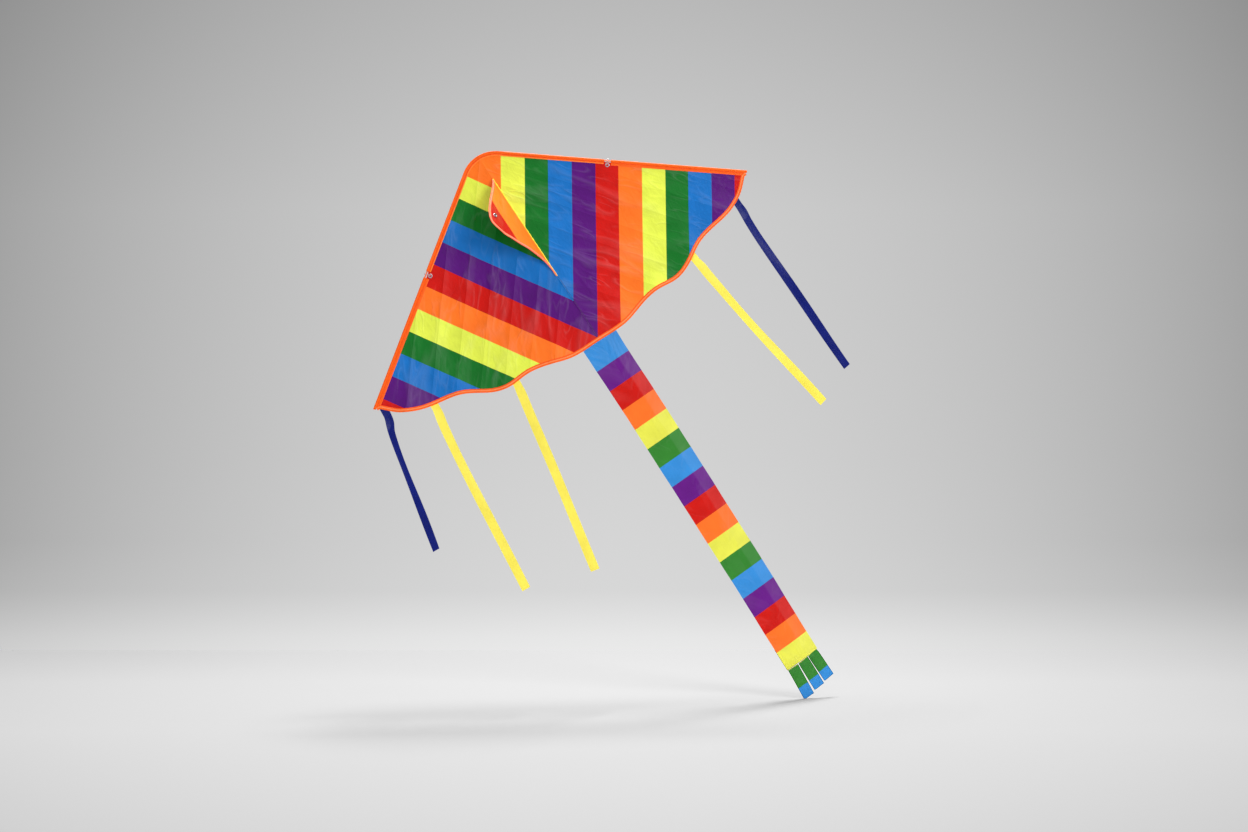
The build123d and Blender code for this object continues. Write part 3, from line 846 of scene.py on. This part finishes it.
def build_keel_tape():
    z = KEEL_Z[::-1]
    out = KEEL_U[::-1]
    travel = np.concatenate([[0], np.cumsum(np.hypot(np.diff(out), np.diff(z)))])
    even = np.arange(0, travel[-1], 0.0025)
    points = np.stack([np.interp(even, travel, out), np.interp(even, travel, z)], -1)
    ahead = np.gradient(points, axis=0)
    ahead /= np.linalg.norm(ahead, axis=1, keepdims=True)
    inward = np.stack([ahead[:, 1], -ahead[:, 0]], -1)
    profile = puckered(tape_profile(KEEL_TAPE_WIDTH), even)
    spot = points[:, None] + inward[:, None] * profile[..., :1]
    grid = on_keel(np.maximum(spot[..., 0], 0), spot[..., 1], profile[..., 1])
    piece = sheet("keel_binding", grid, across_uv(even, profile), KEEL_BINDING, TAPE_CLOTH)
    made(piece, "keel_tape", "keel_edge_tape")
    at_keel_root(piece)
    spot = points + inward * KEEL_TAPE_WIDTH / 2
    for face, left in (("left", 1), ("right", -1)):
        path = on_keel(spot[:, 0], spot[:, 1], left * (TAPE_GAP + TAPE_CLOTH * 0.75))
        row = stitches(f"keel_{face}_stitches", path, KEEL_NORMAL * left, YELLOW_THREAD)
        at_keel_root(row)


def build_keel_seam():
    """The keel cloth's folded edge, stitched flat to the front of the sail."""
    low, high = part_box("keel_seam_tape")
    z = np.arange(low.z - CORNER[2], high.z - CORNER[2], 0.003)[:, None]
    across = np.array([-0.0022, -0.0018, -0.0008, 0.0, 0.0008, 0.0018, 0.0022])[None]
    front = np.array([0.0004, 0.0007, 0.0011, 0.0016, 0.0011, 0.0007, 0.0004])[None]
    wobble = 1 + 0.1 * np.sin(z * 420)
    x = across * wobble
    z = np.broadcast_to(z, x.shape)
    grid = on_sail(x, z, np.broadcast_to(front, x.shape))
    piece = sheet("keel_seam", grid, np.stack([x, z], -1), SEAM, TAPE_CLOTH)
    made(piece, "seam_tape", "keel_seam_tape")
    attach(piece, "centre")
    for side in (-1, 1):
        path = on_sail(np.full(len(z), side * 0.0015), z[:, 0], 0.0012)
        row = stitches(f"keel_seam_{WINGS[side]}_stitches", path, (0, -1, 0), YELLOW_THREAD)
        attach(row, "centre")


def build_spine_tuck():
    """A tuck sewn down the spine below the keel, in the sail's own print, with thick dark stitches that also stand
    in for the shadow line along it as painted shade.
    """
    z = np.arange(-0.608, -0.409, 0.003)[:, None]
    across = np.array([-0.0026, -0.0016, -0.0008, 0.0, 0.0007, 0.0012])[None]
    front = np.array([0.0003, 0.0010, 0.0014, 0.0013, 0.0008, 0.0002])[None]
    x = np.broadcast_to(across, (len(z), across.shape[1]))
    z = np.broadcast_to(z, x.shape)
    grid = on_sail(x, z, np.broadcast_to(front, x.shape))
    piece = sheet("spine_tuck", grid, np.stack([x * 0.2, z], -1), SAIL, CLOTH)
    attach(piece, "centre")
    # painted shade: the stitches are drawn thick and dark so that they also make the shadow line along the tuck
    path = on_sail(np.full(len(z), 0.0018), z[:, 0], 0.0003)
    row = stitches("spine_tuck_painted_shade_stitches", path, (0, -1, 0), DARK_THREAD, length=0.0031,
                   radius=0.0007)
    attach(row, "centre")


# ---- frame pieces -----------------------------------------------------------------------------
def build_spine_pocket():
    low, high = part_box("spine_pocket")
    z = np.arange(low.z, high.z, 0.003)[:, None] - CORNER[2]
    rod_y = 0.0038
    turn = np.linspace(math.radians(-12), math.radians(192), 17)
    arch = np.stack([0.0032 * np.cos(turn), rod_y + 0.0032 * np.sin(turn)], -1)
    flange = np.array([(0.009, 0.0008), (0.0075, 0.0008), (0.0055, 0.0009), (0.0042, 0.0011)])
    section = np.concatenate([flange, arch, flange[::-1] * [-1, 1]])
    gather = 1 + 0.03 * np.sin(z * 330) + 0.02 * np.sin(z * 811)
    x = section[None, :, 0] * gather
    y = section[None, :, 1] * (1 + 0.02 * np.sin(z * 610)) + sail_depth(x, z) * 0
    z = np.broadcast_to(z, x.shape)
    grid = np.stack([x, y, z], -1)
    piece = sheet("rod_pocket", grid, np.stack([x, z], -1), POCKET, TAPE_CLOTH)
    made(piece, "pocket_cloth", "spine_pocket")
    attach(piece, "centre")
    for side in (-1, 1):
        path = np.stack([np.full(len(z), side * 0.0068), np.full(len(z), 0.0012), z[:, 0]], -1)
        row = stitches(f"rod_pocket_{WINGS[side]}_stitches", path, (0, 1, 0), DARK_THREAD)
        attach(row, "centre")


def rolled_rim(bore, flange, length):
    """The closed section of a two-part eyelet whose lips are rolled over."""
    points = []
    for end in (1, -1):
        lip = []
        for turn in np.linspace(math.radians(175), math.radians(-60), 12):
            middle = (bore + flange) / 2
            lip.append((middle + (flange - bore) / 2 * math.cos(turn),
                        end * (length / 2 - 0.0006 + 0.0009 * math.sin(turn))))
        points += lip if end > 0 else lip[::-1]
    return points


def build_eyelet(name, node, axis, body):
    low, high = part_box(node)
    centre = np.array((low + high) / 2) - CORNER
    piece = turned(name, centre, axis, rolled_rim(0.0030, 0.0060, 0.0026), NICKEL)
    made(piece, "eyelet_metal", node)
    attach(piece, body)


def finish_cad_nodes():
    """The frame's rods, caps and links keep their CAD shapes and take a finer finish."""
    finishes = {"spine_rod": FIBREGLASS, "spreader_rod": FIBREGLASS, "spine_caps": VINYL,
                "spreader_tips": VINYL}
    for side in WINGS.values():
        finishes[side + "_leading_spar"] = ORANGE_ROD
        finishes[side + "_spar_caps"] = VINYL
        finishes[side + "_spreader_link"] = CLEAR
    for node, material in finishes.items():
        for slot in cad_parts[node].material_slots:
            slot.link = "OBJECT"
            slot.material = material


# ---- ribbons ----------------------------------------------------------------------------------
def strip_ends(node):
    """The middle of a hanging CAD strip's top and bottom ends, and its width as a vector."""
    points = node_points(node)
    points = points[np.argsort(points[:, 2])]
    top, bottom = points[-4:], points[:4]
    across = top[np.argsort(top[:, 0])]
    return top.mean(0), bottom.mean(0), across[2:].mean(0) - across[:2].mean(0)


TAB = 0.013                       # a ribbon is sewn to the back of the trailing tape over this


def build_streamer(name, material, slot, seed, turn, bow, tip):
    """turn twists the ribbon; bow and tip shift its upper half and its end to the right."""
    top, bottom, width = strip_ends(name)
    length = np.linalg.norm(bottom - top)
    down = unit(bottom - top)
    wide = np.linalg.norm(width)
    side_way = unit(width)
    back_way = np.cross(side_way, down)
    chance = random.Random(seed)
    phase = [chance.uniform(0, 2 * math.pi) for _ in range(3)]
    along = np.arange(-TAB, length, 0.0045)
    hung = np.clip(along, 0, None) / length
    free = smooth(along, 0.0, 0.05)
    sway = bow * np.sin(np.pi * np.clip(hung, 0, 1) ** 0.6) * free + tip * hung ** 2
    swing = 0.0060 * np.sin(hung * 6.5 + phase[0]) * smooth(hung, 0, 0.25)
    twist = math.radians(turn) * free + math.radians(9) * np.sin(hung * 7.0 + phase[1]) * free
    across = np.linspace(-0.5, 0.5, 11)
    gathered = 0.86 + 0.14 * smooth(along, -0.004, 0.030)
    offset = across[None] * wide * gathered[:, None]
    cup = 0.0012 * np.cos(across * np.pi)[None] * np.sin(hung * 9 + phase[2])[:, None]
    cup = cup + 0.0005 * np.sin(across * 14)[None] * (1 - free)[:, None]
    turned_side = np.cos(twist)[:, None] * side_way + np.sin(twist)[:, None] * back_way
    turned_back = np.cos(twist)[:, None] * back_way - np.sin(twist)[:, None] * side_way
    line = top + along[:, None] * down + sway[:, None] * side_way + swing[:, None] * back_way
    grid = line[:, None] + offset[..., None] * turned_side[:, None] + cup[..., None] * turned_back[:, None]
    first = np.argmax(along >= 0)
    behind_tape = trailing_z(grid[first, :, 0]) + 0.008
    share = np.clip(-along / TAB, 0, 1)[:, None]
    grid[..., 2] = grid[..., 2] * (1 - share) + behind_tape * share
    behind = sail_depth(grid[..., 0], grid[..., 2]) + 0.0014
    grid[..., 1] = grid[..., 1] * free[:, None] + (1 - free)[:, None] * behind
    uv = np.stack([offset, np.broadcast_to(along[:, None], offset.shape)], -1)
    piece = sheet(name + "_ribbon", grid, uv, material, 0.0003)
    made(piece, slot, name)
    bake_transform(piece)


def tail_line():
    """The tail's middle line: (distance down the tail, point), from the sail to the fringe."""
    points, travel = [], []
    total = 0.0
    for number in range(1, 9):
        top, bottom, _ = strip_ends(f"tail_length_{number}")
        if points:
            total += np.linalg.norm(top - points[-1])
        points.append(top)
        travel.append(total)
        total += np.linalg.norm(bottom - top)
        points.append(bottom)
        travel.append(total)
    return np.array(travel), np.array(points)


TAIL_TRAVEL, TAIL_POINTS = tail_line()
TAIL_SIDEWAYS = unit(strip_ends("tail_length_1")[2])
TAIL_WIDTH = 0.106
TAIL_LENGTH = TAIL_PANEL * 17


def tail_axis(along):
    """Point and backward direction of the tail's middle line."""
    window = 0.05
    spread = np.linspace(-window, window, 9)
    at = np.clip(along[:, None] + spread, TAIL_TRAVEL[0], TAIL_TRAVEL[-1])
    rounded = np.stack([np.interp(at, TAIL_TRAVEL, TAIL_POINTS[:, i]).mean(1) for i in range(3)], -1)
    straight = np.stack([np.interp(along, TAIL_TRAVEL, TAIL_POINTS[:, i]) for i in range(3)], -1)
    inside = smooth(along, 0, window)[:, None] * smooth(-along, -TAIL_TRAVEL[-1], window - TAIL_TRAVEL[-1])[:, None]
    return straight * (1 - inside) + rounded * inside


def tail_depth(across, along):
    """How far back the tail's cloth stands from its middle line."""
    third = TAIL_WIDTH / 6
    fold = 0.20 * np.maximum(across - third, 0) - 0.03 * across
    streaks = np.zeros(np.broadcast(across, along).shape)
    for where, lean, height in ((0.020, 0.30, 0.0019), (0.030, 0.16, 0.0022), (0.040, 0.05, 0.0016),
                                (0.006, 0.42, 0.0014)):
        off = (across - where + lean * (along - 0.030)) / 0.0035
        streaks = streaks + height * np.exp(-off ** 2) * (1 - smooth(along, 0.03, 0.10))
    for slit in (-third, third):
        streaks = streaks + 0.0012 * np.exp(-((across - slit) / 0.0025) ** 2) \
            * smooth(along, TAIL_LENGTH - 0.05, TAIL_LENGTH - 0.01)
    wave = 0.0012 * np.sin(along * 21 + 0.7) + 0.0008 * np.sin(along * 57 + across * 30)
    edge_curl = 0.0015 * (np.abs(across) * 2 / TAIL_WIDTH) ** 4 * np.sin(along * 13 + 1.0)
    loose = smooth(along, 0.0, 0.05)
    return fold * loose + streaks + (wave + edge_curl) * loose


def on_tail(across, along):
    across, along = np.broadcast_arrays(across, along)
    flat = along.reshape(-1)
    middle = tail_axis(np.maximum(flat, 0)).reshape(along.shape + (3,))
    spot = middle + across[..., None] * TAIL_SIDEWAYS
    spot[..., 1] += tail_depth(across, np.maximum(along, 0))
    tab = np.minimum(along, 0)
    spot[..., 2] -= tab
    at_edge = 1 - smooth(along, 0.0, 0.045)
    behind = sail_depth(spot[..., 0], trailing_z(spot[..., 0]) + 0.002) + 0.0014
    spot[..., 1] = spot[..., 1] + behind * at_edge
    return spot


def build_tail():
    across = np.linspace(-0.5, 0.5, 45)[None] * TAIL_WIDTH
    ends = [(-TAB, 1)] + [(1 + 2 * i, 3 + 2 * i) for i in range(7)] + [(15, 17)]
    for number, (start, end) in enumerate(ends, 1):
        low = start if start < 0 else start * TAIL_PANEL
        high = end * TAIL_PANEL
        along = np.linspace(low, high, int((high - low) / 0.003) + 1)[:, None]
        grid = on_tail(across, along)
        uv = np.stack(np.broadcast_arrays(across, np.maximum(along, 0.0002)), -1)
        inner = np.clip(uv[..., 1], max(low, 0) + 0.0002, high - 0.0002)
        uv = np.stack([uv[..., 0], inner], -1)
        piece = sheet(f"tail_cloth_{number}", grid, uv, TAIL, CLOTH)
        if number <= 8:
            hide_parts(f"tail_length_{number}")
            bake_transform(piece)
        else:
            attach(piece, "tail_8")


def build_fringe():
    chance = random.Random(5)
    for side in ("left", "middle", "right"):
        node = side + "_fringe_strip"
        top, bottom, width = strip_ends(node)
        down = unit(bottom - top)
        length = np.linalg.norm(bottom - top)
        side_way = unit(width)
        back_way = np.cross(side_way, down)
        along = np.linspace(0, length, 36)
        across = np.linspace(-0.5, 0.5, 15) * np.linalg.norm(width)
        curl = 0.003 * chance.uniform(-1, 1) * smooth(along, 0.01, 0.1)
        joined = 1 - smooth(along, 0.0, 0.02)
        middle = top + (along * 1.0)[:, None] * down
        depth = tail_depth(middle[:, None, 0] + across[None], TAIL_LENGTH)
        offset = depth * joined[:, None] + depth.mean() * (1 - joined)[:, None] + curl[:, None] \
            + 0.0006 * np.sin(across * 200)[None] * (1 - joined)[:, None]
        grid = middle[:, None] + across[None, :, None] * side_way + offset[..., None] * back_way
        uv = np.stack(np.broadcast_arrays(across[None], (TAIL_LENGTH + 0.0002 + along)[:, None]), -1)
        piece = sheet(node + "_cloth", grid, uv, TAIL, CLOTH)
        made(piece, "tail_cloth", node)
        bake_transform(piece)


# ---- stage, light and camera ------------------------------------------------------------------
VIEW_FROM = np.array([-0.8629, -4.5723, -0.9258])          # kite coordinates
VIEW_RIGHT = unit([0.8226, -0.1325, -0.5530])
VIEW_UP = unit([0.5417, -0.1136, 0.8329])
VIEW_AHEAD = np.cross(VIEW_UP, VIEW_RIGHT)


def build_camera():
    camera = bpy.data.cameras.new("camera")
    camera.lens = 50.0
    camera.sensor_width = 36.0
    camera.clip_end = 100.0
    holder = bpy.data.objects.new("camera", camera)
    bpy.context.scene.collection.objects.link(holder)
    columns = np.stack([VIEW_RIGHT, VIEW_UP, -VIEW_AHEAD], axis=1)
    matrix = np.eye(4)
    matrix[:3, :3] = columns
    matrix[:3, 3] = place(VIEW_FROM)
    holder.matrix_world = Matrix(matrix.tolist())
    bpy.context.scene.camera = holder


def add_softbox(name, where, target, size, power):
    light = bpy.data.lights.new(name, "AREA")
    light.shape = "DISK"
    light.size = size
    light.energy = power
    holder = bpy.data.objects.new(name, light)
    bpy.context.scene.collection.objects.link(holder)
    holder.location = place(where)
    towards = Vector(target) - Vector(where)
    holder.rotation_euler = towards.to_track_quat("-Z", "Y").to_euler()


def build_lights():
    middle = np.array([0.0, 0.0, -0.60])
    add_softbox("overhead", middle + 2.6 * VIEW_UP + 0.3 * VIEW_AHEAD, middle, 1.1, 125)
    add_softbox("key", middle + 2.0 * VIEW_UP - 3.4 * VIEW_AHEAD + 3.4 * VIEW_RIGHT, middle, 2.6, 126)
    add_softbox("front", middle + 0.2 * VIEW_UP - 4.6 * VIEW_AHEAD - 0.6 * VIEW_RIGHT, middle, 3.0, 33)


def build_floor():
    lowest = min((strip_ends(s + "_fringe_strip")[1] for s in ("left", "middle", "right")),
                 key=lambda point: point @ VIEW_UP)
    touch = lowest - VIEW_UP * 0.006
    mesh = bpy.data.meshes.new("floor")
    corners = [touch + a * VIEW_RIGHT + b * VIEW_AHEAD for a, b in
               ((-5, -5), (5, -5), (5, 1), (-5, 1))]
    mesh.from_pydata(place(corners).tolist(), [], [(0, 1, 2, 3)])
    floor = bpy.data.objects.new("floor", mesh)
    bpy.context.scene.collection.objects.link(floor)
    material, n = new_material("floor")
    output(n, n.add("BsdfPrincipled", {"Base Color": (0.8, 0.8, 0.8, 1), "Roughness": 0.9}))
    mesh.materials.append(material)
    floor.is_shadow_catcher = True


def grey(level):
    return linear(level, level, level)[0]


# painted light and shade on the backdrop up the middle of the picture, brightest a little above the bottom and
# darker towards the top: share of its height, grey level
BACKDROP = ((0.0, 222), (0.10, 231), (0.18, 239), (0.235, 231), (0.29, 215), (0.45, 210), (0.75, 205),
            (1.0, 185))


def build_backdrop():
    """A studio sweep: what the camera sees behind the kite, a grey gradient of painted light and shade that darkens
    towards the top and sides, and even light from all round.
    """
    world = bpy.data.worlds.new("studio")
    bpy.context.scene.world = world
    world.use_nodes = True
    world.node_tree.nodes.clear()
    n = Nodes(world.node_tree)
    window = n.add("TexCoord", output=5)
    across, up = n.split(window)
    node = n.tree.nodes.new("ShaderNodeValToRGB")
    ramp = node.color_ramp
    while len(ramp.elements) < len(BACKDROP):
        ramp.elements.new(0.5)
    for element, (height, level) in zip(ramp.elements, BACKDROP):
        element.position = height
        element.color = (grey(level),) * 3 + (1,)
    n.tree.links.new(up, node.inputs[0])
    # painted shade: the backdrop darkens towards the left and right edges, more so higher up
    aside = n.math("POWER", n.math("ABSOLUTE", n.times(n.math("SUBTRACT", across, 0.5), 2.0)), 1.8)
    fall = n.remap(up, 0.12, 0.35, 0.13, 0.40)
    painted_vignette = n.math("SUBTRACT", 1.0, n.times(aside, fall))
    seen = n.mix(1.0, node.outputs[0], n.add("CombineColor", dict.fromkeys((0, 1, 2), painted_vignette)),
                 blend="MULTIPLY")
    backdrop = n.add("Background", {"Color": seen, "Strength": 1.0})
    fill = n.add("Background", {"Color": (1, 1, 1, 1), "Strength": 0.42})
    camera_ray = n.add("LightPath", output=0)
    mixed = n.add("MixShader", {0: camera_ray, 1: fill, 2: backdrop})
    last = n.tree.nodes.new("ShaderNodeOutputWorld")
    n.tree.links.new(mixed, last.inputs["Surface"])
    bpy.context.scene.view_settings.view_transform = "Standard"


# ---- everything -------------------------------------------------------------------------------
for wing in WINGS:
    build_sail(wing)
    build_upper_sleeve(wing)
    build_lower_sleeve(wing)
    build_trailing_tape(wing)
    build_eyelet(WINGS[wing] + "_eyelet_ring", WINGS[wing] + "_spreader_eyelet", (0, 1, 0),
                 WINGS[wing] + "_wing")
build_keel()
build_keel_seam()
build_spine_tuck()
build_eyelet("tow_eyelet_ring", "tow_eyelet", KEEL_NORMAL, "keel")
build_spine_pocket()
finish_cad_nodes()
build_streamer("left_navy_streamer", NAVY_SATIN, "navy_ribbon", 1, 38, -0.008, -0.008)
build_streamer("left_outer_yellow_streamer", YELLOW_SATIN, "yellow_ribbon", 2, 8, -0.005, 0.001)
build_streamer("left_inner_yellow_streamer", YELLOW_SATIN, "yellow_ribbon", 3, -6, 0.001, 0.002)
build_streamer("right_navy_streamer", NAVY_SATIN, "navy_ribbon", 4, 5, -0.006, 0.003)
build_streamer("right_yellow_streamer", YELLOW_SATIN, "yellow_ribbon", 6, 10, -0.003, 0.0)
build_tail()
build_fringe()
build_floor()
build_backdrop()
build_lights()
build_camera()
